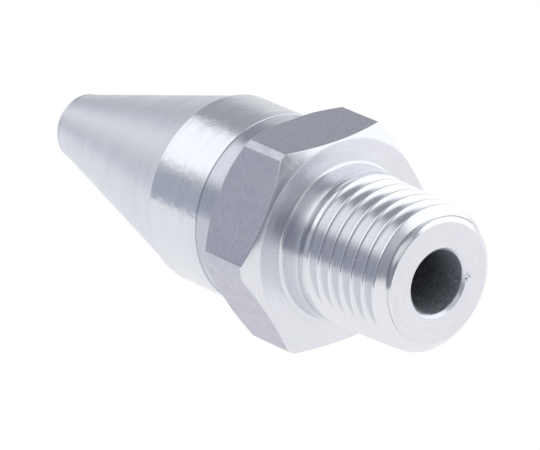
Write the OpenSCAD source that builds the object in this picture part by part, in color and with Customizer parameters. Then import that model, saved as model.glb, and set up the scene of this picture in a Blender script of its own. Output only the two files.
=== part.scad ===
/* [Threaded inlet] */
// Distance from the hex shoulder to the threaded end face
inlet_len = 12.8; // [12:0.05:14]
// Major radius of the taper thread at its small end
thread_small_r = 6.63; // [6.55:0.01:6.7]
// Pitch of the taper thread, 18 turns per inch
thread_pitch = 1.411; // [1.38:0.001:1.43]
// Radius of the plain neck between the thread and the hex
neck_r = 7.05; // [6.95:0.01:7.2]
// Length of the plain neck
neck_len = 2.2; // [2.05:0.05:2.35]
// Radius of the inlet bore
bore_r = 2.9; // [2.7:0.05:3.1]
// Width of the chamfer at the mouth of the bore
bore_chamfer = 0.3; // [0.2:0.05:0.5]

/* [Hexagon] */
// Size of the hexagon across its flats
hex_af = 19.05; // [18.95:0.05:19.1]
// Thickness of the hexagon
hex_len = 6.65; // [6.2:0.05:7]
// Radius to which the hexagon's corners are turned
hex_corner_r = 10.88; // [10.78:0.02:10.94]
// Radius where the chamfer on the thread side starts
hex_front_r = 9.4; // [9.25:0.05:9.45]
// Slope of the chamfer on the thread side, in degrees
hex_front_angle = 30; // [28:1:34]
// Radius where the chamfer on the nose side starts
hex_rear_r = 9.85; // [9.75:0.05:9.95]
// Slope of the chamfer on the nose side, in degrees
hex_rear_angle = 40; // [36:1:44]
// Run-out of the hexagonal bar from the turned axis, towards -Y
hex_runout = 0.2; // [0:0.05:0.25]

/* [Nose] */
// Radius of the collar behind the hexagon
collar_r = 8.8; // [8.7:0.05:8.85]
// Distance from the hex shoulder to the end of the collar
collar_end = 9.7; // [9.5:0.05:9.8]
// Radius of the barrel of the nose shell
barrel_r = 8.87; // [8.77:0.05:8.97]
// Distance from the hex shoulder to the end of the barrel
barrel_end = 16.2; // [16:0.05:16.4]
// Distance from the hex shoulder to the tip
tip_end = 37.3; // [36.9:0.1:37.6]
// Radius of the cone at the tip
tip_r = 3.1; // [3:0.05:3.3]
// Radius of the spray hole
spray_hole_r = 0.3; // [0.2:0.05:0.4]

/* [Cut-off valve] */
// Distance that the poppet opens
valve_lift = 1.0; // [0.6:0.1:1.2]
// Radius of the hole in the valve seat
seat_hole_r = 1.6; // [1.3:0.1:1.8]
// Radius of the poppet's stem
stem_r = 1.0; // [0.9:0.05:1.1]

/* [Strainer] */
// Radius of the strainer's mesh sleeve
mesh_r = 3.6; // [3.5:0.05:3.7]
// Columns of slots in the strainer's cage
cage_slots = 6; // [4:1:8]

/* [Hidden] */
$fn = 96;

// Overlap that keeps cuts from leaving a skin
cut = 0.1;
// Axial clearance of loose pieces, and radial clearance of located ones
play = 0.05;

// Taper thread: 1 in 16 on the diameter, 60 degree flanks, as a right-hand helical groove
taper = 1 / 32;
flank_angle = 30;
thread_depth = 0.8 * thread_pitch;
root_w = thread_pitch / 2 - thread_depth * tan(flank_angle);
thread_steps = 32;
fade_steps = 12;
groove_over = 0.1;
groove_lead = 0.73;
groove_rest = 0.65;
groove_start = inlet_len + groove_lead;
groove_steps = floor((groove_start - neck_len - groove_rest) / thread_pitch * thread_steps);
end_chamfer = 1.0;
end_chamfer_depth = 1.13;
end_face_r = thread_small_r - end_chamfer_depth;
neck_fillet = 0.35;

// Relief groove between the neck and the thread
relief_r = 6.65;
relief_len = 0.52;
relief_end = neck_len + relief_len;
relief_ramp = major_r(relief_end) - relief_r;

// Inner steps of the inlet body, as distances from the hex shoulder towards the nose
chamber_start = 0.8;
chamber_r = 4.9;
spigot_r = 6.95;
spigot_end = 17.5;
seat_thread_r = 5.3;
seat_start = 13.4;

// Strainer
gasket_len = 0.4;
base_len = 1.0;
base_lip = 0.6;
base_hole_r = bore_r - base_lip;
base_socket_len = 1.2;
mesh_start = chamber_start + gasket_len + base_len;
cap_len = 1.0;
cap_plug_len = 0.8;
cap_notch_r = 0.8;
cap_notch_out = 0.35;
cap_start = seat_start - cap_len;
mesh_t = 0.2;
strainer_cage_r = mesh_r - mesh_t;
cage_wall = 0.6;
window_rows = 3;
window_len = 2.1;
window_w = 1.6;
window_gap = 0.7;
window_start = 2.0;

// Sealing washer, in a recess in the mouth of the nose shell
washer_len = 0.4;
washer_r = 8.0;

// Inner steps of the nose shell
cage_flange_len = 0.7;
shell_step = spigot_end + cage_flange_len;
cage_bore_r = 5.0;
cage_end = 24.4;
cavity_ramp = 1.2;
cavity_r = 3.2;
cavity_end = 27.5;
lock_ramp = 0.5;
tip_bore_ramp = 0.2;
lock_thread_r = 2.5;
lock_start = cavity_end + 0.4;
lock_end = 31.4;
tip_bore_r = 2.2;
tip_bore_end = 35.2;
swirl_start = 33.3;
swirl_r = 1.8;
swirl_tip_r = 0.55;
snout_r = 1.4;
cone_step = 0.12;
cone_r = barrel_r - cone_step;
cone_slope = (cone_r - tip_r) / (tip_end - barrel_end);
shoulder_len = 0.4;
rim = 0.08;
shoulder_rim = 0.04;
tip_round = 0.4;
tip_slope = atan(cone_slope);

// Valve: the poppet closes on the lip of the seat and opens towards the tip
lip_end = 17.3;
lip_len = 0.6;
lip_w = 0.9;
ring_wire_r = 0.35;
ring_x = seat_start + 2.05;
screw_r = 0.5;
screw_end = 20.7;
head_gap = 0.6;
head_r = 3.4;
head_end = 19.3;
seal_r = 2.7;
seal_len = 0.9;
stem_end = 25.9;
cage_floor = 23.2;
spring_wire_r = 0.25;
spring_r = 1.95;
spring_coils = 5;
bush_r = 1.6;
running = 0.05;

// Turns a shape made along +Z so that +Z becomes +X, the axis of the nozzle
module on_axis() {
    rotate([0, 90, 0]) children();
}

// A solid of revolution about the axis, from [radius, x] points
module turned(points) {
    on_axis() rotate_extrude() polygon(points);
}

// A tube on the axis that starts at_x mm nose-ward of the shoulder and ends to_x mm nose-ward
module tube(outer_r, inner_r, at_x, to_x) {
    turned([[inner_r, -at_x], [outer_r, -at_x], [outer_r, -to_x], [inner_r, -to_x]]);
}

// A plug on the axis between two nose-ward distances
module plug(r, at_x, to_x) {
    on_axis() translate([0, 0, -to_x]) cylinder(r = r, h = to_x - at_x);
}

// Copies of a shape spaced evenly about the axis
module around(count) {
    for (i = [0 : count - 1]) rotate([i * 360 / count, 0, 0]) children();
}

// Major radius of the taper thread at x
function major_r(x) = thread_small_r + (inlet_len - x) * taper;

// Section of the groove at step i of its helix: a trapezoid that rises out of the metal at the run-out
function groove_section(i) =
    let (
        turn = 360 * i / thread_steps,
        x = groove_start - thread_pitch * i / thread_steps,
        rise = thread_depth * max(0, (i - groove_steps + fade_steps) / fade_steps),
        root = major_r(x) - thread_depth + rise,
        top = root + thread_depth + groove_over,
        half_top = root_w / 2 + (thread_depth + groove_over) * tan(flank_angle)
    )
    [for (p = [[top, half_top], [root, root_w / 2], [root, -root_w / 2], [top, -half_top]])
        [x + p[1], p[0] * sin(turn), p[0] * cos(turn)]];

// Points of a round corner: centre, radius, first and last angle
function arc(c, r, from, to, steps = 6) = [
    for (i = [0 : steps]) c + r * [cos(from + (to - from) * i / steps), sin(from + (to - from) * i / steps)]
];

// Outside of the threaded stub, from the end face down to the hex shoulder
function stub_outline() = concat(
    [[end_face_r, inlet_len], [major_r(inlet_len - end_chamfer), inlet_len - end_chamfer]],
    [[major_r(relief_end), relief_end], [relief_r, relief_end - relief_ramp]],
    [[relief_r, neck_len], [neck_r, neck_len]],
    arc([neck_r + neck_fillet, neck_fillet], neck_fillet, 180, 270)
);

// A closed sweep through rings of points, each with the same number of sides
module swept(rings, sides) {
    last = len(rings) - 1;
    polyhedron(
        points = [for (ring = rings) each ring],
        faces = concat(
            [[for (k = [0 : sides - 1]) k]],
            [[for (k = [0 : sides - 1]) last * sides + sides - 1 - k]],
            [for (i = [0 : last - 1], k = [0 : sides - 1])
                let (a = i * sides + k, b = i * sides + (k + 1) % sides) [a, a + sides, b + sides, b]]
        )
    );
}

module hex_prism() {
    on_axis() intersection() {
        translate([0, -hex_runout, -hex_len]) rotate(30)
            linear_extrude(hex_len) circle(r = hex_af / sqrt(3), $fn = 6);
        rotate_extrude() polygon([
            [0, 0],
            [0, -hex_len],
            [hex_rear_r, -hex_len],
            [hex_corner_r, -hex_len + (hex_corner_r - hex_rear_r) * tan(hex_rear_angle)],
            [hex_corner_r, -(hex_corner_r - hex_front_r) * tan(hex_front_angle)],
            [hex_front_r, 0]
        ]);
    }
}

module inlet_body() {
    color("silver") difference() {
        union() {
            turned(concat([[0, -1], [0, inlet_len]], stub_outline(), [[neck_r + neck_fillet, -1]]));
            hex_prism();
            plug(collar_r, hex_len - 1, collar_end);
            plug(spigot_r, collar_end - 1, spigot_end);
        }
        swept([for (i = [0 : groove_steps]) groove_section(i)], 4);
        plug(bore_r, -inlet_len - cut, chamber_start + cut);
        turned([
            [0, inlet_len - bore_r - bore_chamfer],
            [bore_r + bore_chamfer + cut, inlet_len + cut],
            [0, inlet_len + cut]
        ]);
        plug(chamber_r, chamber_start, spigot_end + cut);
        plug(seat_thread_r, seat_start, spigot_end + cut);
    }
}

module nose_shell() {
    color("gainsboro") difference() {
        turned(concat(
            [[0, -collar_end], [barrel_r - rim, -collar_end], [barrel_r, -collar_end - rim]],
            [[barrel_r, -barrel_end + shoulder_len], [barrel_r - shoulder_rim, -barrel_end]],
            [[cone_r - cone_slope * shoulder_len, -barrel_end - shoulder_len]],
            arc([tip_r - tip_round * 0.8, -tip_end + tip_round], tip_round, tip_slope, -90),
            [[0, -tip_end]]
        ));
        plug(washer_r + play, collar_end - cut, collar_end + washer_len);
        plug(spigot_r + play, collar_end, shell_step);
        plug(cage_bore_r, shell_step - cut, cage_end + play);
        turned([
            [0, -cage_end],
            [cage_bore_r, -cage_end],
            [cavity_r, -cage_end - cavity_ramp],
            [cavity_r, -cavity_end],
            [lock_thread_r, -cavity_end - lock_ramp],
            [lock_thread_r, -lock_end],
            [tip_bore_r, -lock_end - tip_bore_ramp],
            [tip_bore_r, -tip_bore_end],
            [0, -tip_bore_end]
        ]);
        plug(snout_r, tip_bore_end - cut, tip_end + cut);
    }
}

module seam_washer() {
    color("peru") tube(washer_r, spigot_r + play, collar_end, collar_end + washer_len);
}

module strainer_gasket() {
    color("saddlebrown") tube(chamber_r - play, bore_r, chamber_start, chamber_start + gasket_len);
}

module strainer_base() {
    color("goldenrod") union() {
        tube(chamber_r - play, base_hole_r, chamber_start + gasket_len, mesh_start);
        tube(strainer_cage_r - cage_wall, base_hole_r, mesh_start - cut, mesh_start + base_socket_len);
    }
}

module strainer_cage() {
    window_step = window_len + window_gap;
    color("goldenrod") difference() {
        tube(strainer_cage_r, strainer_cage_r - cage_wall, mesh_start, cap_start);
        for (row = [1 : window_rows]) around(cage_slots)
            translate([window_gap - mesh_start - window_start - row * window_step, -window_w / 2, 0])
                cube([window_len, window_w, strainer_cage_r + cut]);
    }
}

module strainer_mesh() {
    color("lightgray") tube(mesh_r, strainer_cage_r, mesh_start, cap_start);
}

module strainer_cap() {
    color("goldenrod") difference() {
        union() {
            plug(chamber_r - play, cap_start, seat_start);
            plug(strainer_cage_r - cage_wall, cap_start - cap_plug_len, cap_start + cut);
        }
        around(6) translate([-seat_start - cut, 0, chamber_r - cap_notch_out])
            rotate([0, 90, 0]) cylinder(r = cap_notch_r, h = cap_len + 2 * cut, $fn = 32);
    }
}

module valve_seat() {
    cup_r = seat_thread_r - 1;
    cup_len = 0.4;
    ring_floor_r = seat_thread_r - 2 * ring_wire_r;
    groove_half = ring_wire_r + play * 2;
    color("goldenrod") difference() {
        union() {
            plug(seat_thread_r, seat_start, lip_end - lip_len);
            plug(seat_hole_r + lip_w, lip_end - lip_len - cut, lip_end);
        }
        plug(seat_hole_r, seat_start - cut, lip_end + cut);
        turned([
            [0, -seat_start + cut],
            [cup_r, -seat_start + cut],
            [cup_r, -seat_start - cup_len],
            [0, -seat_start - cup_len - cup_r]
        ]);
        tube(seat_thread_r + cut, ring_floor_r, ring_x - groove_half, ring_x + groove_half);
    }
}

module seat_o_ring() {
    color("darkslategray") on_axis() translate([0, 0, -ring_x])
        rotate_extrude() translate([seat_thread_r - ring_wire_r, 0]) circle(r = ring_wire_r, $fn = 32);
}

module valve_cage() {
    port_r = 0.6;
    port_at = 2.85;
    color("goldenrod") difference() {
        union() {
            plug(spigot_r - play, spigot_end, shell_step);
            plug(cage_bore_r - play, spigot_end, cage_end);
        }
        plug(head_r + head_gap, spigot_end - cut, cage_floor);
        plug(bush_r, cage_floor - cut, cage_end + cut);
        around(6) translate([-cage_end - cut, 0, port_at])
            rotate([0, 90, 0]) cylinder(r = port_r, h = cage_end - cage_floor + 2 * cut, $fn = 32);
    }
}

module guide_bush() {
    flange_w = 0.25;
    flange_len = 0.3;
    color("ivory") union() {
        tube(bush_r, stem_r + running, cage_floor, cage_end);
        tube(bush_r + flange_w, stem_r + running, cage_end, cage_end + flange_len);
    }
}

module valve_spring() {
    steps = 16;
    sides = 8;
    length = cage_floor - head_end - 2 * spring_wire_r;
    last = spring_coils * steps;
    color("silver") swept([
        for (i = [0 : last]) [
            for (k = [0 : sides - 1])
                let (turn = 360 * i / steps, side = 360 * k / sides, r = spring_r + spring_wire_r * cos(side))
                    [
                        -head_end - spring_wire_r * (1 - sin(side)) - length * i / last,
                        r * cos(turn),
                        r * sin(turn)
                    ]
        ]
    ], sides);
}

module valve_poppet() {
    color("silver") difference() {
        union() {
            plug(head_r, lip_end, head_end);
            plug(stem_r, head_end - cut, stem_end);
        }
        plug(seal_r, lip_end - cut, lip_end + seal_len);
        plug(screw_r, lip_end, screw_end + cut);
    }
}

module poppet_seal() {
    color("darkslategray") tube(seal_r, screw_r, lip_end, lip_end + seal_len);
}

module seal_screw() {
    screw_head_r = 1.1;
    screw_head_len = 0.6;
    slot_w = 0.3;
    slot_depth = 0.3;
    color("silver") difference() {
        union() {
            plug(screw_r, lip_end - cut, screw_end);
            plug(screw_head_r, lip_end - screw_head_len, lip_end);
        }
        translate([-lip_end + screw_head_len - slot_depth, -screw_head_r - cut, -slot_w / 2])
            cube([slot_depth + cut, 2 * (screw_head_r + cut), slot_w]);
    }
}

module lock_screw() {
    hole_r = 1.0;
    slot_w = 0.8;
    slot_end = cavity_end + 1.5;
    flute_r = 0.5;
    flute_at = lock_thread_r - 0.4;
    port_r = 0.45;
    port_at = lock_end - 1.6;
    color("goldenrod") difference() {
        plug(lock_thread_r, lock_start, lock_end);
        plug(hole_r, cavity_end, lock_end - hole_r);
        translate([-slot_end, -lock_thread_r - cut, -slot_w / 2])
            cube([slot_end - cavity_end, 2 * (lock_thread_r + cut), slot_w]);
        around(4) translate([-lock_end - cut, 0, flute_at])
            rotate([0, 90, 0]) cylinder(r = flute_r, h = 2.2, $fn = 24);
        around(4) translate([-port_at, 0, 0]) cylinder(r = port_r, h = lock_thread_r + cut, $fn = 24);
    }
}

module swirl_distributor() {
    body_r = tip_bore_r - play;
    groove_w = 0.5;
    groove_depth = 0.4;
    slot_w = 0.4;
    slot_depth = 0.3;
    color("silver") difference() {
        turned([
            [0, -lock_end],
            [body_r, -lock_end],
            [body_r, -swirl_start],
            [swirl_r, -swirl_start],
            [swirl_tip_r, -swirl_start - swirl_r + swirl_tip_r],
            [0, -swirl_start - swirl_r + swirl_tip_r]
        ]);
        around(4) translate([-swirl_start - cut, -groove_w / 2, body_r - groove_depth])
            cube([swirl_start - lock_end + 2 * cut, groove_w, 1]);
        around(4) translate([-swirl_start, swirl_tip_r - slot_w, swirl_r - slot_depth])
            rotate([0, -45, 0]) translate([-3, 0, 0]) cube([4, slot_w, 1]);
    }
}

module orifice_insert() {
    outer_r = tip_bore_r - play;
    seat_r = swirl_r + play;
    seat_start_x = swirl_start + play;
    flare_r = 0.75;
    flare_len = 0.35;
    color("lightsteelblue") difference() {
        union() {
            plug(outer_r, seat_start_x, tip_bore_end);
            plug(snout_r - play, tip_bore_end - cut, tip_end);
        }
        turned([
            [0, -seat_start_x + cut],
            [seat_r + cut, -seat_start_x + cut],
            [spray_hole_r, -seat_start_x - seat_r + spray_hole_r],
            [0, -seat_start_x - seat_r + spray_hole_r]
        ]);
        plug(spray_hole_r, seat_start_x, tip_end + cut);
        turned([
            [0, -tip_end + flare_len],
            [spray_hole_r, -tip_end + flare_len],
            [flare_r, -tip_end],
            [flare_r, -tip_end - cut],
            [0, -tip_end - cut]
        ]);
    }
}

inlet_body();
nose_shell();
seam_washer();
strainer_gasket();
strainer_base();
strainer_cage();
strainer_mesh();
strainer_cap();
valve_seat();
seat_o_ring();
valve_cage();
guide_bush();
valve_spring();
valve_poppet();
poppet_seal();
seal_screw();
lock_screw();
swirl_distributor();
orifice_insert();
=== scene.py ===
"""Looks of the oil burner nozzle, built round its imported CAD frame.

Sizes are written as millimetres times MM, so they are metres. X runs along the axis towards the inlet end."""
import math

import bpy
import numpy as np
from mathutils import Matrix, Vector


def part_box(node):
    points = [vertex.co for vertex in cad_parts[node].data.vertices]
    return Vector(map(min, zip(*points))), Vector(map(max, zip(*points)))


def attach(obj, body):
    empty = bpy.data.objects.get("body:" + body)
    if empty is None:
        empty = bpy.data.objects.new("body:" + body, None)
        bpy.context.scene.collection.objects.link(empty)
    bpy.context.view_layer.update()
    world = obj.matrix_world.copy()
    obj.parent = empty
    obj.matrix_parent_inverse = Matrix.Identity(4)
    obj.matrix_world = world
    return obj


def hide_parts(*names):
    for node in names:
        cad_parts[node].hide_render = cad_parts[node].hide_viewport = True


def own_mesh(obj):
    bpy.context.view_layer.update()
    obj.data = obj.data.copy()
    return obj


MM = 0.001
MICRON = 0.001 * MM

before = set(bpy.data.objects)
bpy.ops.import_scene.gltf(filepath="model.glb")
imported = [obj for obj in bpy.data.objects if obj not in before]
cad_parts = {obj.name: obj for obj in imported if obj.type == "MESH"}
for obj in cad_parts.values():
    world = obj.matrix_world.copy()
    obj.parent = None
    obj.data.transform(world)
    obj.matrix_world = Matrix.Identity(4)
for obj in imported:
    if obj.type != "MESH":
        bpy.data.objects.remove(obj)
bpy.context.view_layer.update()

# ---------------------------------------------------------------- sizes from the frame
BODY_LOW, BODY_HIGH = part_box("inlet_body")
SHELL_LOW, SHELL_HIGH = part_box("nose_shell")
WASHER_LOW, WASHER_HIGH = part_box("seam_washer")
SEAT_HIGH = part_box("valve_seat")[1]
GASKET_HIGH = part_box("strainer_gasket")[1]
CAGE_LOW, CAGE_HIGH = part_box("valve_cage")
SPRING_LOW, SPRING_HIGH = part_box("valve_spring")
LOCK_LOW, LOCK_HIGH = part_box("lock_screw")
SWIRL_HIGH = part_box("swirl_distributor")[1]
PLAY = 0.05 * MM

INLET_END = BODY_HIGH.x
SPIGOT_END = BODY_LOW.x
SPIGOT_R = CAGE_HIGH.z + PLAY
HALF_FLATS = BODY_HIGH.z
COLLAR_END = SHELL_HIGH.x
BARREL_R = SHELL_HIGH.z
TIP_END = SHELL_LOW.x

# ---------------------------------------------------------------- sizes that the frame's boxes don't show
THREAD_SMALL_R = 6.63 * MM
THREAD_PITCH = 1.411 * MM
THREAD_DEPTH = 0.8 * THREAD_PITCH
TAPER = 1 / 32
ROOT_HALF = 0.1 * MM
CREST_HALF = 0.1 * MM
CREST_ROUND = 0.12 * MM
CHAMFER_ROUND = 0.02 * MM
FLANK_SLOPE = (THREAD_PITCH / 2 - ROOT_HALF - CREST_HALF) / THREAD_DEPTH
GROOVE_START = INLET_END + 0.73 * MM
NECK_R = 7.05 * MM
NECK_LEN = 2.2 * MM
NECK_FILLET = 0.35 * MM
RELIEF_R = 6.65 * MM
RELIEF_END = NECK_LEN + 0.52 * MM
GROOVE_END = NECK_LEN + 0.65 * MM
FADE_TURNS = 12 / 32
END_CHAMFER = 1.0 * MM
END_FACE_R = THREAD_SMALL_R - 1.13 * MM
BORE_R = 2.9 * MM
BORE_CHAMFER = 0.3 * MM

COLLAR_R = 8.8 * MM
HEX_LEN = 6.65 * MM
HEX_CORNER_R = 10.88 * MM
HEX_FRONT_R = 9.4 * MM
HEX_FRONT_SLOPE = math.tan(math.radians(30))
HEX_REAR_R = 9.85 * MM
HEX_REAR_SLOPE = math.tan(math.radians(40))
HEX_RUNOUT = 0.2 * MM
FLAT_EDGE_ROUND = 0.03 * MM
LAND_DEPTH = 0.012 * MM
EDGE = 0.07 * MM
NECK_EDGE = 0.03 * MM
FINE_EDGE = 0.02 * MM
FACE_RIM = 0.1 * MM

BARREL_END = -16.2 * MM
SHOULDER = 1.2 * MM
TIP_R = 3.1 * MM
TIP_ROUND = 0.4 * MM
TIP_EDGE = 0.05 * MM
SEAM_EDGE = 0.08 * MM
SHOULDER_EDGE = 0.05 * MM
CONE_R = BARREL_R - 0.12 * MM
CONE_SLOPE = (CONE_R - TIP_R) / (BARREL_END - TIP_END)
SNOUT_R = 1.4 * MM
TIP_BORE_END = TIP_END + 2.1 * MM
CAVITY_R = 3.2 * MM
CAGE_BORE_R = 5.0 * MM
CAGE_CHAMFER = 1.2 * MM
THREAD_ROOM = 0.7 * MM
LOCK_ROOM = 0.4 * MM
LOCK_CHAMFER = 0.5 * MM
LOCK_STEP = 0.2 * MM
SHELL_COLUMNS = 480

# Material slots of the inlet body and the nose shell
# The collar's slot holds painted shade: a darker copy of the turned metal.
TURNED, FACED, FLAT, BORED, THREAD, COLLAR_PAINTED_SHADE, LAND = 0, 1, 2, 3, 4, 5, 6
BARREL, CONE, SHELL_BORE = 0, 1, 2


# ---------------------------------------------------------------- mesh helpers
def smooth_min(a, b, k):
    h = np.maximum(k - np.abs(a - b), 0) / k
    return np.minimum(a, b) - h * h * k / 4


def edge_break(a, limit, k=0.08 * MM):
    """How far a reaches past limit, and never less than a small broken edge."""
    return 0.5 * ((a - limit) + math.sqrt((a - limit) ** 2 + k * k))


def soften(corners, most=0.45):
    """A closed outline as (x, r) points and the slot of each edge, from (x, r, round, slot) corners.

    A corner with a round becomes a curve of four points. slot belongs to the edge that leaves the corner.
    most is the largest share of an edge that a round may take."""
    points, slots = [], []
    for i, (x, r, size, slot) in enumerate(corners):
        here = np.array([x, r])
        if not size:
            points.append(here)
            slots.append(slot)
            continue
        back = np.array(corners[i - 1][:2]) - here
        on = np.array(corners[(i + 1) % len(corners)][:2]) - here
        before, after = np.linalg.norm(back), np.linalg.norm(on)
        reach = min(size, most * before, most * after)
        start, stop = here + back / before * reach, here + on / after * reach
        for s in (0, 1 / 3, 2 / 3, 1):
            points.append((1 - s) ** 2 * start + 2 * s * (1 - s) * here + s * s * stop)
            slots.append(slot)
    return points, slots


def spun(angle, points):
    """(x, r) points turned to an angle from +Z about +X, in degrees."""
    a = math.radians(angle)
    return [(x, -r * math.sin(a), r * math.cos(a)) for x, r in points]


def grid_mesh(name, columns, slots, merge=1e-7):
    """A closed mesh from columns of points. Each column closes on itself, and the last lies on the first.

    slots[column][row] is the material of the face after that row. Points that lie together become one."""
    grid = np.array(columns)
    flat = grid.reshape(-1, 3)
    cells = np.round(flat / merge).astype(np.int64)
    _, first, index = np.unique(cells, axis=0, return_index=True, return_inverse=True)
    index = index.reshape(grid.shape[:2])
    rows = grid.shape[1]
    faces, materials = [], []
    for c in range(len(columns) - 1):
        for r in range(rows):
            n = (r + 1) % rows
            corners = (index[c, r], index[c + 1, r], index[c + 1, n], index[c, n])
            face = [int(v) for i, v in enumerate(corners) if v != corners[i - 1]]
            if len(face) > 2:
                faces.append(face)
                materials.append(slots[c][r])
    mesh = bpy.data.meshes.new(name)
    mesh.from_pydata(flat[first].tolist(), [], faces)
    mesh.polygons.foreach_set("material_index", materials)
    mesh.polygons.foreach_set("use_smooth", [True] * len(faces))
    mesh.update()
    return mesh


def add_piece(name, mesh, materials, body, slot, *replaced):
    """A piece in place of CAD nodes, with shading that keeps flats flat next to small rounds."""
    piece = bpy.data.objects.new(name, mesh)
    bpy.context.scene.collection.objects.link(piece)
    for material in materials:
        mesh.materials.append(material)
    modifier = piece.modifiers.new("weighted_normals", "WEIGHTED_NORMAL")
    modifier.weight = 90
    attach(piece, body)
    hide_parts(*replaced)
    return piece


# ---------------------------------------------------------------- inlet body
def flat_distance(k):
    """Distance of flat k from the axis: the bar runs out towards -Y."""
    return HALF_FLATS + HEX_RUNOUT * math.sin(math.radians(60 * k))


def hex_radius(angle):
    """Outline of the hexagon at an angle from +Z, with its corners turned round."""
    r = HEX_CORNER_R
    for k in range(6):
        c = math.cos(math.radians(angle - 60 * k))
        if c > 0.5:
            r = smooth_min(r, flat_distance(k) / c, FLAT_EDGE_ROUND)
    return float(r)


def column_angles(step=0.6, least=0.04):
    """Even columns, and close ones round the edges of the hexagon's flats."""
    angles = set(np.arange(0, 360, step))
    near = [0.08, 0.18, 0.3, 0.45]
    offsets = [-offset for offset in near] + [0] + near
    for k in range(6):
        half = math.degrees(math.acos(min(1.0, flat_distance(k) / HEX_CORNER_R)))
        for edge in (60 * k - half, 60 * k + half):
            angles |= {(edge + offset) % 360 for offset in offsets}
    kept = [0.0]
    for angle in sorted(angles):
        if kept[-1] + least < angle < 360 - least:
            kept.append(float(angle))
    return kept + [360.0]


def major_r(x):
    return THREAD_SMALL_R + (INLET_END - x) * TAPER


def thread_radius(x, angle):
    """Outside of the threaded stub at x: taper, flanks of the right-hand groove and end chamfer."""
    turns = (GROOVE_START - x) / THREAD_PITCH + angle / 360
    offset = np.abs(turns - np.round(turns)) * THREAD_PITCH
    along = np.round(turns) - angle / 360
    last = (GROOVE_START - GROOVE_END) / THREAD_PITCH
    rise = THREAD_DEPTH * np.maximum(0, (along - last + FADE_TURNS) / FADE_TURNS)
    groove = major_r(x) - THREAD_DEPTH + rise + np.maximum(0, offset - ROOT_HALF) / FLANK_SLOPE
    r = smooth_min(major_r(x), groove, CREST_ROUND)
    start = major_r(INLET_END - END_CHAMFER)
    chamfer = END_FACE_R + (INLET_END - x) / END_CHAMFER * (start - END_FACE_R)
    return smooth_min(r, chamfer, CHAMFER_ROUND)


def pitch_shares():
    """Where rows lie in one pitch, from the root's middle: close at the root and the crest's edges."""
    edge = 0.5 - CREST_HALF / THREAD_PITCH
    root, flank = [0, 0.045, 0.071, 0.095], [0.17, 0.25, 0.33]
    crest = [edge + 0.01 * step for step in range(-4, 5)]
    half = root + flank + crest
    return half + [0.5] + [1 - share for share in reversed(half[1:])]


def helix_rows(low, high, angle):
    """x of rows that follow the thread's helix, held between low and high."""
    shares = pitch_shares()
    before = math.ceil((GROOVE_START - low) / THREAD_PITCH) + 1
    pitches = math.ceil((high - GROOVE_START) / THREAD_PITCH + before)
    start = GROOVE_START + THREAD_PITCH * (angle / 360 - before)
    rows = [start + THREAD_PITCH * (i + share) for i in range(pitches) for share in shares]
    return np.clip(rows, low, high)


def thread_corners(angle):
    chamfer_start = INLET_END - END_CHAMFER
    straight = helix_rows(RELIEF_END, chamfer_start, angle)
    chamfered = helix_rows(chamfer_start, INLET_END, angle)
    rows = np.concatenate([straight, chamfered])
    return [(x, r, 0, THREAD) for x, r in zip(rows, thread_radius(rows, angle))]


def body_corners(angle):
    """Outline of the inlet body at one angle: along the outside to the end face, back through the bore."""
    r = hex_radius(angle)
    front, rear = edge_break(r, HEX_FRONT_R), edge_break(r, HEX_REAR_R)
    side = LAND if r > HEX_CORNER_R - LAND_DEPTH else FLAT
    fillet = [math.radians(15 * k) for k in range(7)]
    chamber_r, seat_r = GASKET_HIGH.z + PLAY, SEAT_HIGH.z
    return (
        [
            (SPIGOT_END, seat_r, 0, TURNED),
            (SPIGOT_END, SPIGOT_R, EDGE, TURNED),
            (COLLAR_END, SPIGOT_R, 0, TURNED),
            # The collar's face takes the painted-shade material.
            (COLLAR_END, COLLAR_R, FINE_EDGE, COLLAR_PAINTED_SHADE),
            (-HEX_LEN, COLLAR_R, EDGE, TURNED),
            (-HEX_LEN, r - rear, EDGE, TURNED),
            (-HEX_LEN + rear * HEX_REAR_SLOPE, r, EDGE, side),
            (-front * HEX_FRONT_SLOPE, r, EDGE, TURNED),
            (0, r - front, EDGE, FACED),
        ]
        + [
            (NECK_FILLET * (1 - math.cos(a)), NECK_R + NECK_FILLET * (1 - math.sin(a)), 0, TURNED)
            for a in fillet
        ]
        + [
            (NECK_LEN, NECK_R, NECK_EDGE, TURNED),
            (NECK_LEN, RELIEF_R, EDGE, TURNED),
            (RELIEF_END - major_r(RELIEF_END) + RELIEF_R, RELIEF_R, EDGE, TURNED),
        ]
        + thread_corners(angle)
        + [
            (INLET_END, END_FACE_R - FINE_EDGE, 0, FACED),
            (INLET_END, END_FACE_R - FACE_RIM, 0, FACED),
            (INLET_END, BORE_R + BORE_CHAMFER, EDGE, FACED),
            (INLET_END - BORE_CHAMFER, BORE_R, EDGE, BORED),
            (GASKET_HIGH.x, BORE_R, 0, BORED),
            (GASKET_HIGH.x, chamber_r, 0, BORED),
            (SEAT_HIGH.x, chamber_r, 0, BORED),
            (SEAT_HIGH.x, seat_r, 0, BORED),
        ]
    )


def build_inlet_body(materials):
    angles = column_angles()
    columns = [spun(angle, soften(body_corners(angle))[0]) for angle in angles]
    slots = [soften(body_corners((a + b) / 2))[1] for a, b in zip(angles, angles[1:])]
    mesh = grid_mesh("inlet_body_metal", columns, slots)
    return add_piece("inlet_body_metal", mesh, materials, "nozzle", "body_aluminium", "inlet_body")


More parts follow.
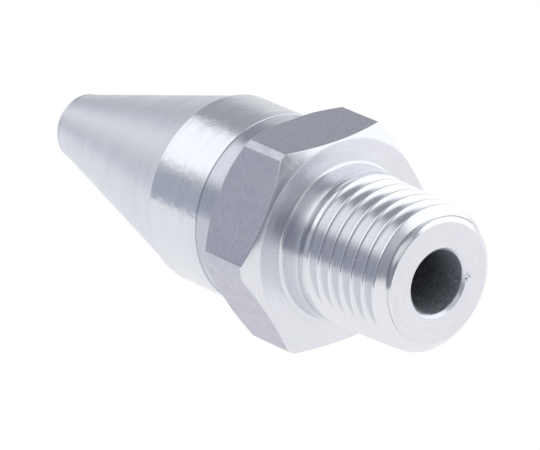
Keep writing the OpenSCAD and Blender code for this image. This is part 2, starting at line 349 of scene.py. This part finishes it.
# ---------------------------------------------------------------- nose shell
def shell_corners():
    """Outline of the nose shell: along barrel and cone to the tip, and back through its bores."""
    cone_start = BARREL_END - SHOULDER
    tip_angle = math.atan(CONE_SLOPE)
    tip_turns = [tip_angle - (tip_angle + math.pi / 2) * i / 6 for i in range(7)]
    tip_x, tip_r = TIP_END + TIP_ROUND, TIP_R - TIP_ROUND * 0.8
    cage_end, cavity_end = CAGE_LOW.x, LOCK_HIGH.x + LOCK_ROOM
    shell_step = SPIGOT_END - THREAD_ROOM
    lock_r, tip_bore_r = LOCK_HIGH.z, SWIRL_HIGH.z + PLAY
    outside = [
        (WASHER_LOW.x, SPIGOT_R + PLAY, 0, SHELL_BORE),
        (WASHER_LOW.x, WASHER_HIGH.z + PLAY, 0, SHELL_BORE),
        (COLLAR_END, WASHER_HIGH.z + PLAY, 0, SHELL_BORE),
        (COLLAR_END, BARREL_R, SEAM_EDGE, BARREL),
        (BARREL_END, BARREL_R, SHOULDER_EDGE, CONE),
        (cone_start, CONE_R - CONE_SLOPE * SHOULDER, 0, CONE),
    ]
    tip = [(tip_x + TIP_ROUND * math.sin(a), tip_r + TIP_ROUND * math.cos(a), 0, CONE) for a in tip_turns]
    inside = [
        (TIP_END, SNOUT_R, TIP_EDGE, SHELL_BORE),
        (TIP_BORE_END, SNOUT_R, 0, SHELL_BORE),
        (TIP_BORE_END, tip_bore_r, 0, SHELL_BORE),
        (LOCK_LOW.x - LOCK_STEP, tip_bore_r, 0, SHELL_BORE),
        (LOCK_LOW.x, lock_r, 0, SHELL_BORE),
        (cavity_end - LOCK_CHAMFER, lock_r, 0, SHELL_BORE),
        (cavity_end, CAVITY_R, 0, SHELL_BORE),
        (cage_end - CAGE_CHAMFER, CAVITY_R, 0, SHELL_BORE),
        (cage_end, CAGE_BORE_R, 0, SHELL_BORE),
        (shell_step, CAGE_BORE_R, 0, SHELL_BORE),
        (shell_step, SPIGOT_R + PLAY, 0, SHELL_BORE),
    ]
    return outside + tip + inside


def build_nose_shell(materials):
    points, slots = soften(shell_corners())
    angles = np.linspace(0, 360, SHELL_COLUMNS + 1)
    mesh = grid_mesh("nose_shell_metal", [spun(a, points) for a in angles], [slots] * SHELL_COLUMNS)
    return add_piece("nose_shell_metal", mesh, materials, "nozzle", "nose_aluminium", "nose_shell")


# ---------------------------------------------------------------- valve spring
def build_spring(material):
    """A round-wire helix between the ends of the spring's box in the frame."""
    coils, steps_per_turn, sides = 5, 40, 20
    wire = 0.25 * MM
    centre_r = SPRING_HIGH.z - wire
    first, last = SPRING_HIGH.x - wire, SPRING_LOW.x + wire
    steps = coils * steps_per_turn
    points, faces = [], []
    for i in range(steps + 1):
        a = 2 * math.pi * i / steps_per_turn
        for k in range(sides):
            b = 2 * math.pi * k / sides
            x = first + (last - first) * i / steps + wire * math.sin(b)
            r = centre_r + wire * math.cos(b)
            points.append((x, r * math.cos(a), r * math.sin(a)))
    for i in range(steps):
        for k in range(sides):
            n = (k + 1) % sides
            here, ahead = i * sides, (i + 1) * sides
            faces.append((here + k, here + n, ahead + n, ahead + k))
    faces += [tuple(reversed(range(sides))), tuple(range(steps * sides, (steps + 1) * sides))]
    mesh = bpy.data.meshes.new("valve_spring_wire")
    mesh.from_pydata(points, [], faces)
    mesh.polygons.foreach_set("use_smooth", [True] * len(faces))
    piece = add_piece("valve_spring_wire", mesh, [material], "nozzle", "spring_steel", "valve_spring")
    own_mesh(piece)
    return piece


# ---------------------------------------------------------------- materials
class Shader:
    """A material's node tree, built one node at a time."""

    def __init__(self, name):
        self.material = bpy.data.materials.new(name)
        self.material.use_nodes = True
        self.tree = self.material.node_tree
        self.surface = self.tree.nodes["Principled BSDF"]

    def node(self, kind, inputs=None, **settings):
        made = self.tree.nodes.new("ShaderNode" + kind)
        for key, value in settings.items():
            setattr(made, key, value)
        for key, value in (inputs or {}).items():
            self.put(made.inputs[key], value)
        return made

    def put(self, socket, value):
        if isinstance(value, bpy.types.NodeSocket):
            self.tree.links.new(value, socket)
        else:
            socket.default_value = value

    def math(self, operation, a, b=0.0):
        return self.node("Math", {0: a, 1: b}, operation=operation).outputs[0]

    def ranged(self, value, low, high, to_low=0.0, to_high=1.0):
        made = self.node("MapRange", {"Value": value, "From Min": low, "From Max": high})
        made.inputs["To Min"].default_value = to_low
        made.inputs["To Max"].default_value = to_high
        return made.outputs["Result"]

    def set(self, **values):
        for key, value in values.items():
            self.put(self.surface.inputs[key.replace("_", " ")], value)

    def place(self):
        return self.node("TexCoord").outputs["Object"]

    def noise(self, vector, scale, detail=2.0, roughness=0.5, w=None):
        inputs = {"Vector": vector, "Scale": scale, "Detail": detail, "Roughness": roughness}
        if w is not None:
            inputs["W"] = w
        made = self.node("TexNoise", noise_dimensions="3D" if w is None else "4D")
        for key, value in inputs.items():
            self.put(made.inputs[key], value)
        return made.outputs["Fac"]

    def around_axis(self, along, across, turn):
        """Noise coordinates that follow the tool: x and radius fine, the turn about X coarse."""
        x, y, z = self.node("SeparateXYZ", {0: self.place()}).outputs[:3]
        radius = self.math("SQRT", self.math("ADD", self.math("MULTIPLY", y, y), self.math("MULTIPLY", z, z)))
        safe = self.math("MAXIMUM", radius, 1e-5)
        cosine = self.math("MULTIPLY", self.math("DIVIDE", y, safe), turn)
        sine = self.math("MULTIPLY", self.math("DIVIDE", z, safe), turn)
        parts = {0: self.math("MULTIPLY", x, along), 1: self.math("MULTIPLY", radius, across), 2: cosine}
        return self.node("CombineXYZ", parts).outputs[0], sine

    def bump(self, height, distance, strength=1.0, normal=None):
        made = self.node("Bump", {"Height": height, "Distance": distance, "Strength": strength})
        if normal is not None:
            self.put(made.inputs["Normal"], normal)
        return made.outputs["Normal"]

    def mixed(self, share, a, b):
        made = self.node("Mix", data_type="RGBA")
        self.put(made.inputs["Factor"], share)
        self.put(made.inputs["A"], a)
        self.put(made.inputs["B"], b)
        return made.outputs["Result"]


def turned_metal(
    name, colour, roughness, mark=0.09, depth=0.9, spread=0.5, wear=0.06, shade=0.92, waves=2.0, scuff=None
):
    """Metal from the lathe: fine marks round the axis, a rougher bloom in patches, and a few small nicks.

    mark is the spacing of the tool marks in millimetres and depth their depth in micrometres. shade is how
    much darker they are. waves is the depth in micrometres of the slow unevenness that frays reflections.
    spread is the anisotropy, wear the change in roughness, and scuff the middle of a small patch of pits."""
    s = Shader(name)
    vector, w = s.around_axis(1 / (mark * MM), 1 / (mark * MM), 3.0)
    lines = s.noise(vector, 1.0, 3.0, 0.6, w)
    coarse_vector, coarse_w = s.around_axis(1 / (7 * mark * MM), 1 / (7 * mark * MM), 1.5)
    bands = s.noise(coarse_vector, 1.0, 1.0, 0.5, coarse_w)
    bloom = s.noise(s.place(), 260.0, 3.0)
    nicks = s.ranged(s.noise(s.place(), 2600.0, 1.0), 0.76, 0.8)
    dark = [c * shade for c in colour[:3]] + [1]
    tone = s.mixed(s.ranged(lines, 0.35, 0.7), dark, colour)
    tone = s.mixed(s.ranged(bloom, 0.4, 0.75, 0, 0.25), tone, [c * 0.9 for c in colour[:3]] + [1])
    if scuff:
        near = s.node("VectorMath", {0: s.place(), 1: scuff}, operation="DISTANCE").outputs["Value"]
        pits = s.ranged(s.noise(s.place(), 5200.0, 2.0), 0.5, 0.57)
        share = s.math("MULTIPLY", s.ranged(near, 0.5 * MM, 0.25 * MM), pits)
        tone = s.mixed(share, tone, (0.1, 0.11, 0.14, 1))
    s.set(Base_Color=tone, Metallic=1.0, Anisotropic=spread, Anisotropic_Rotation=0.25)
    s.set(Tangent=s.node("Tangent", direction_type="RADIAL", axis="X").outputs[0])
    rough = s.ranged(bands, 0.3, 0.7, roughness - wear, roughness + wear)
    rough = s.math("ADD", rough, s.ranged(bloom, 0.3, 0.8, 0, wear))
    s.set(Roughness=s.math("ADD", rough, s.math("MULTIPLY", nicks, 0.2)))
    normal = s.bump(s.math("ADD", lines, bands), depth * MICRON)
    normal = s.bump(s.noise(s.place(), 700.0, 2.0, 0.6), waves * MICRON, 1.0, normal)
    s.set(Normal=s.bump(nicks, -4 * MICRON, 1.0, normal))
    return s.material


def drawn_metal(name, colour, roughness):
    """The flats of the bar: a fine mottled grain that runs across the axis, with dull patches."""
    s = Shader(name)
    stretch = s.node("Mapping", {"Vector": s.place(), "Scale": (9000.0, 1500.0, 1500.0)}).outputs[0]
    grain = s.noise(stretch, 1.0, 3.0, 0.65)
    speckle = s.noise(s.place(), 7000.0, 2.0, 0.6)
    patches = s.noise(s.place(), 900.0, 3.0)
    light, dark = [c * 1.1 for c in colour[:3]] + [1], [c * 0.78 for c in colour[:3]] + [1]
    tone = s.mixed(s.ranged(s.math("ADD", grain, speckle), 0.75, 1.25), dark, light)
    s.set(Base_Color=s.mixed(s.ranged(patches, 0.35, 0.7, 0, 0.5), tone, [c * 0.9 for c in colour[:3]] + [1]))
    s.set(Metallic=1.0, Roughness=s.ranged(patches, 0.3, 0.7, roughness - 0.05, roughness + 0.06))
    s.set(Normal=s.bump(s.math("ADD", grain, speckle), 1.6 * MICRON))
    return s.material


def bored_metal(name, colour, roughness, mark=0.18):
    """The drilled bore: torn feed marks with speckled oxide, duller than the outside."""
    s = Shader(name)
    vector, w = s.around_axis(1 / (mark * MM), 1 / (mark * MM), 6.0)
    marks = s.noise(vector, 1.0, 4.0, 0.7, w)
    speckle = s.noise(s.place(), 5200.0, 3.0, 0.7)
    rust = s.ranged(s.noise(s.place(), 900.0, 3.0), 0.52, 0.7)
    both = s.math("ADD", marks, speckle)
    dark = [c * 0.45 for c in colour[:3]] + [1]
    tone = s.mixed(s.ranged(both, 0.75, 1.25), dark, colour)
    s.set(Base_Color=s.mixed(s.math("MULTIPLY", rust, 0.4), tone, (0.42, 0.36, 0.33, 1)), Metallic=0.8)
    s.set(Roughness=s.ranged(both, 0.7, 1.3, roughness - 0.08, roughness + 0.1))
    s.set(Normal=s.bump(both, 7 * MICRON))
    return s.material


def plain_metal(name, colour, roughness, grain=3000.0):
    """Small inner fittings: metal with fine turning and a little tarnish."""
    s = Shader(name)
    vector, w = s.around_axis(1 / (0.06 * MM), 1 / (0.06 * MM), 2.0)
    lines = s.noise(vector, 1.0, 2.0, 0.5, w)
    tarnish = s.noise(s.place(), grain * 0.3, 4.0)
    dark = [c * 0.7 for c in colour[:3]] + [1]
    s.set(Base_Color=s.mixed(s.ranged(tarnish, 0.35, 0.8), colour, dark), Metallic=1.0)
    s.set(Roughness=s.ranged(s.math("ADD", tarnish, lines), 0.6, 1.4, roughness - 0.06, roughness + 0.1))
    s.set(Normal=s.bump(lines, 1.2 * MICRON))
    return s.material


def soft_material(name, colour, roughness, scale, depth):
    """Fibre, rubber and plastic: a fine uneven skin. depth is in micrometres."""
    s = Shader(name)
    skin = s.noise(s.place(), scale, 4.0, 0.6)
    dark = [c * 0.75 for c in colour[:3]] + [1]
    s.set(Base_Color=s.mixed(s.ranged(skin, 0.35, 0.7), dark, colour))
    s.set(Roughness=s.ranged(skin, 0.3, 0.7, roughness - 0.08, roughness + 0.08))
    s.set(Normal=s.bump(skin, depth * MICRON))
    return s.material


def woven_metal(name, colour, wire=0.2, wires_round=112.0):
    """Wire cloth: warp and weft as crossing waves round the axis. wire is their spacing in millimetres."""
    s = Shader(name)
    x, y, z = s.node("SeparateXYZ", {0: s.place()}).outputs[:3]
    angle = s.math("ARCTAN2", z, y)
    warp = s.math("SINE", s.math("MULTIPLY", angle, wires_round))
    weft = s.math("SINE", s.math("MULTIPLY", x, 2 * math.pi / (wire * MM)))
    weave = s.math("MULTIPLY", warp, weft)
    dark = [c * 0.35 for c in colour[:3]] + [1]
    s.set(Base_Color=s.mixed(s.ranged(weave, -0.6, 0.6), dark, colour), Metallic=1.0)
    s.set(Roughness=s.ranged(weave, -1, 1, 0.5, 0.28), Normal=s.bump(weave, 30 * MICRON))
    return s.material


def paint_node(node, material):
    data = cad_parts[node].data
    data.materials.clear()
    data.materials.append(material)


scuffed_spot = (INLET_END, 3.4 * MM, -0.4 * MM)
turned = turned_metal("turned_aluminium", (0.77, 0.785, 0.83, 1), 0.2, 0.09, 0.4)
faced = turned_metal("faced_aluminium", (0.79, 0.80, 0.85, 1), 0.28, 0.14, 0.9, 0.3, scuff=scuffed_spot)
drawn = drawn_metal("drawn_aluminium", (0.54, 0.545, 0.625, 1), 0.34)
land = drawn_metal("scaled_aluminium", (0.60, 0.62, 0.69, 1), 0.4)
bored = bored_metal("bored_aluminium", (0.66, 0.70, 0.76, 1), 0.58)
threaded = turned_metal("threaded_aluminium", (0.81, 0.82, 0.86, 1), 0.16, 0.05, 0.2, 0.4, 0.03)
# Painted shade: the collar under the hexagon's rear face is coloured much darker than the body's other turned
# faces. Its tool marks and waves are real.
collar_painted_shade = turned_metal("collar_aluminium_painted_shade", (0.535, 0.56, 0.63, 1), 0.16, 0.08, 0.3, waves=14.0)
barrel = turned_metal("barrel_aluminium", (0.735, 0.755, 0.805, 1), 0.2, 0.08, 0.25, shade=0.95, waves=35.0)
cone = turned_metal("cone_aluminium", (0.70, 0.72, 0.785, 1), 0.34, 0.07, 0.12, 0.4, shade=0.97, waves=14.0)

build_inlet_body([turned, faced, drawn, bored, threaded, collar_painted_shade, land])
build_nose_shell([barrel, cone, bored])
build_spring(plain_metal("drawn_wire", (0.60, 0.61, 0.63, 1), 0.25))

brass = plain_metal("turned_brass", (0.78, 0.58, 0.27, 1), 0.3)
stainless = plain_metal("turned_stainless", (0.62, 0.62, 0.63, 1), 0.26)
rubber = soft_material("seal_rubber", (0.035, 0.035, 0.04, 1), 0.6, 6000.0, 4.0)
for node in ("strainer_base", "strainer_cage", "strainer_cap", "valve_seat", "valve_cage", "lock_screw"):
    paint_node(node, brass)
for node in ("valve_poppet", "seal_screw", "swirl_distributor", "orifice_insert"):
    paint_node(node, stainless)
for node in ("seat_o_ring", "poppet_seal"):
    paint_node(node, rubber)
paint_node("seam_washer", plain_metal("annealed_copper", (0.78, 0.42, 0.28, 1), 0.35))
paint_node("strainer_gasket", soft_material("pressed_fibre", (0.34, 0.17, 0.09, 1), 0.75, 4000.0, 12.0))
paint_node("guide_bush", soft_material("white_ptfe", (0.86, 0.85, 0.80, 1), 0.4, 3000.0, 2.0))
paint_node("strainer_mesh", woven_metal("woven_steel", (0.60, 0.60, 0.58, 1)))


# ---------------------------------------------------------------- stage
def build_floor():
    """A plain pale disc under the lowest flat of the hexagon, evenly bright as a lit studio table."""
    radius, sides = 110 * MM, 96
    points = [
        (radius * math.cos(2 * math.pi * i / sides), radius * math.sin(2 * math.pi * i / sides), BODY_LOW.z)
        for i in range(sides)
    ]
    mesh = bpy.data.meshes.new("floor")
    mesh.from_pydata(points, [], [tuple(range(sides))])
    floor = bpy.data.objects.new("floor", mesh)
    bpy.context.scene.collection.objects.link(floor)
    s = Shader("pale_table")
    s.set(Base_Color=(0.02, 0.02, 0.02, 1), Roughness=1.0, Specular_IOR_Level=0.0)
    s.set(Emission_Color=(1, 1, 1, 1), Emission_Strength=1.0)
    mesh.materials.append(s.material)


PLAIN, COOL = (1.0, 1.0, 1.0), (0.92, 0.97, 1.15)
# Soft shapes of the studio, each laid over the last: direction, half angle and soft edge in degrees,
# brightness and tint
STUDIO_SHAPES = [
    ((-0.82, 0.57, 0.05), 6, 16, 0.88, PLAIN),
    ((0.10, -0.99, 0.05), 30, 20, 0.33, COOL),
    ((0.90, -0.42, 0.12), 20, 16, 0.27, COOL),
    ((0.66, -0.36, 0.66), 9, 14, 0.85, PLAIN),
    ((-0.70, -0.71, 0.08), 5, 15, 0.50, COOL),
    ((-0.98, -0.15, 0.13), 8, 12, 0.82, PLAIN),
    ((-0.73, -0.27, 0.63), 16, 12, 1.32, PLAIN),
    ((-0.25, -0.62, 0.74), 14, 8, 1.2, PLAIN),
    ((0.35, 0.80, 0.45), 37, 13, 1.3, PLAIN),
]
# Brightness of the studio by height of the direction (its z), from straight down to straight up
STUDIO_HEIGHTS = [
    (-1.0, 0.88),
    (-0.1, 0.86),
    (0.0, 0.78),
    (0.15, 0.64),
    (0.3, 0.54),
    (0.45, 0.46),
    (1.0, 0.42),
]


def build_world():
    """The studio as the metal sees it, and plain white behind the object."""
    world = bpy.data.worlds.new("studio")
    bpy.context.scene.world = world
    world.use_nodes = True
    tree = world.node_tree
    tree.nodes.clear()

    def node(kind, **settings):
        made = tree.nodes.new("ShaderNode" + kind)
        for key, value in settings.items():
            setattr(made, key, value)
        return made

    direction = node("TexCoord").outputs["Generated"]
    height = node("SeparateXYZ")
    tree.links.new(direction, height.inputs[0])
    to_ramp = node("MapRange")
    tree.links.new(height.outputs["Z"], to_ramp.inputs["Value"])
    to_ramp.inputs["From Min"].default_value = -1
    ramp = node("ValToRGB")
    tree.links.new(to_ramp.outputs["Result"], ramp.inputs["Fac"])
    stops = ramp.color_ramp.elements
    while len(stops) < len(STUDIO_HEIGHTS):
        stops.new(0.5)
    for stop, (z, grey) in zip(stops, STUDIO_HEIGHTS):
        stop.position = (z + 1) / 2
        stop.color = (grey * 0.97, grey, grey * 1.06, 1)
    total = ramp.outputs["Color"]
    for toward, radius, soft, strength, tint in STUDIO_SHAPES:
        dot = node("VectorMath", operation="DOT_PRODUCT")
        tree.links.new(direction, dot.inputs[0])
        dot.inputs[1].default_value = Vector(toward).normalized()
        edge = node("MapRange", interpolation_type="SMOOTHSTEP")
        tree.links.new(dot.outputs["Value"], edge.inputs["Value"])
        edge.inputs["From Min"].default_value = math.cos(math.radians(radius + soft))
        edge.inputs["From Max"].default_value = math.cos(math.radians(radius))
        laid = node("Mix", data_type="RGBA", blend_type="MIX")
        tree.links.new(edge.outputs["Result"], laid.inputs["Factor"])
        tree.links.new(total, laid.inputs["A"])
        laid.inputs["B"].default_value = (*[strength * t for t in tint], 1)
        total = laid.outputs["Result"]
    lit, white = node("Background"), node("Background")
    choose, out = node("MixShader"), node("OutputWorld")
    tree.links.new(total, lit.inputs["Color"])
    white.inputs["Color"].default_value = (1, 1, 1, 1)
    tree.links.new(node("LightPath").outputs["Is Camera Ray"], choose.inputs[0])
    tree.links.new(lit.outputs[0], choose.inputs[1])
    tree.links.new(white.outputs[0], choose.inputs[2])
    tree.links.new(choose.outputs[0], out.inputs["Surface"])


def build_camera():
    """The camera looks at the hexagon from the threaded end, a little from above, with a slight tilt."""
    azimuth, elevation, tilt = math.radians(51.37), math.radians(23.35), math.radians(2.43)
    aim = Vector((-4.46, -4.53, 1.52)) * MM
    distance = 492 * MM
    level_share = math.cos(elevation)
    back = Vector((math.sin(azimuth) * level_share, -math.cos(azimuth) * level_share, math.sin(elevation)))
    level = Vector((math.cos(azimuth), math.sin(azimuth), 0))
    upright = back.cross(level)
    up = upright * math.cos(tilt) + level * math.sin(tilt)
    right = up.cross(back)
    camera = bpy.data.objects.new("camera", bpy.data.cameras.new("camera"))
    bpy.context.scene.collection.objects.link(camera)
    camera.data.sensor_width = 36
    camera.data.lens = 373.3
    camera.data.clip_start = 10 * MM
    camera.data.clip_end = 10
    place = Matrix((right, up, back)).transposed().to_4x4()
    place.translation = aim + back * distance
    camera.matrix_world = place
    bpy.context.scene.camera = camera


build_floor()
build_world()
build_camera()
bpy.context.scene.view_settings.view_transform = "Standard"
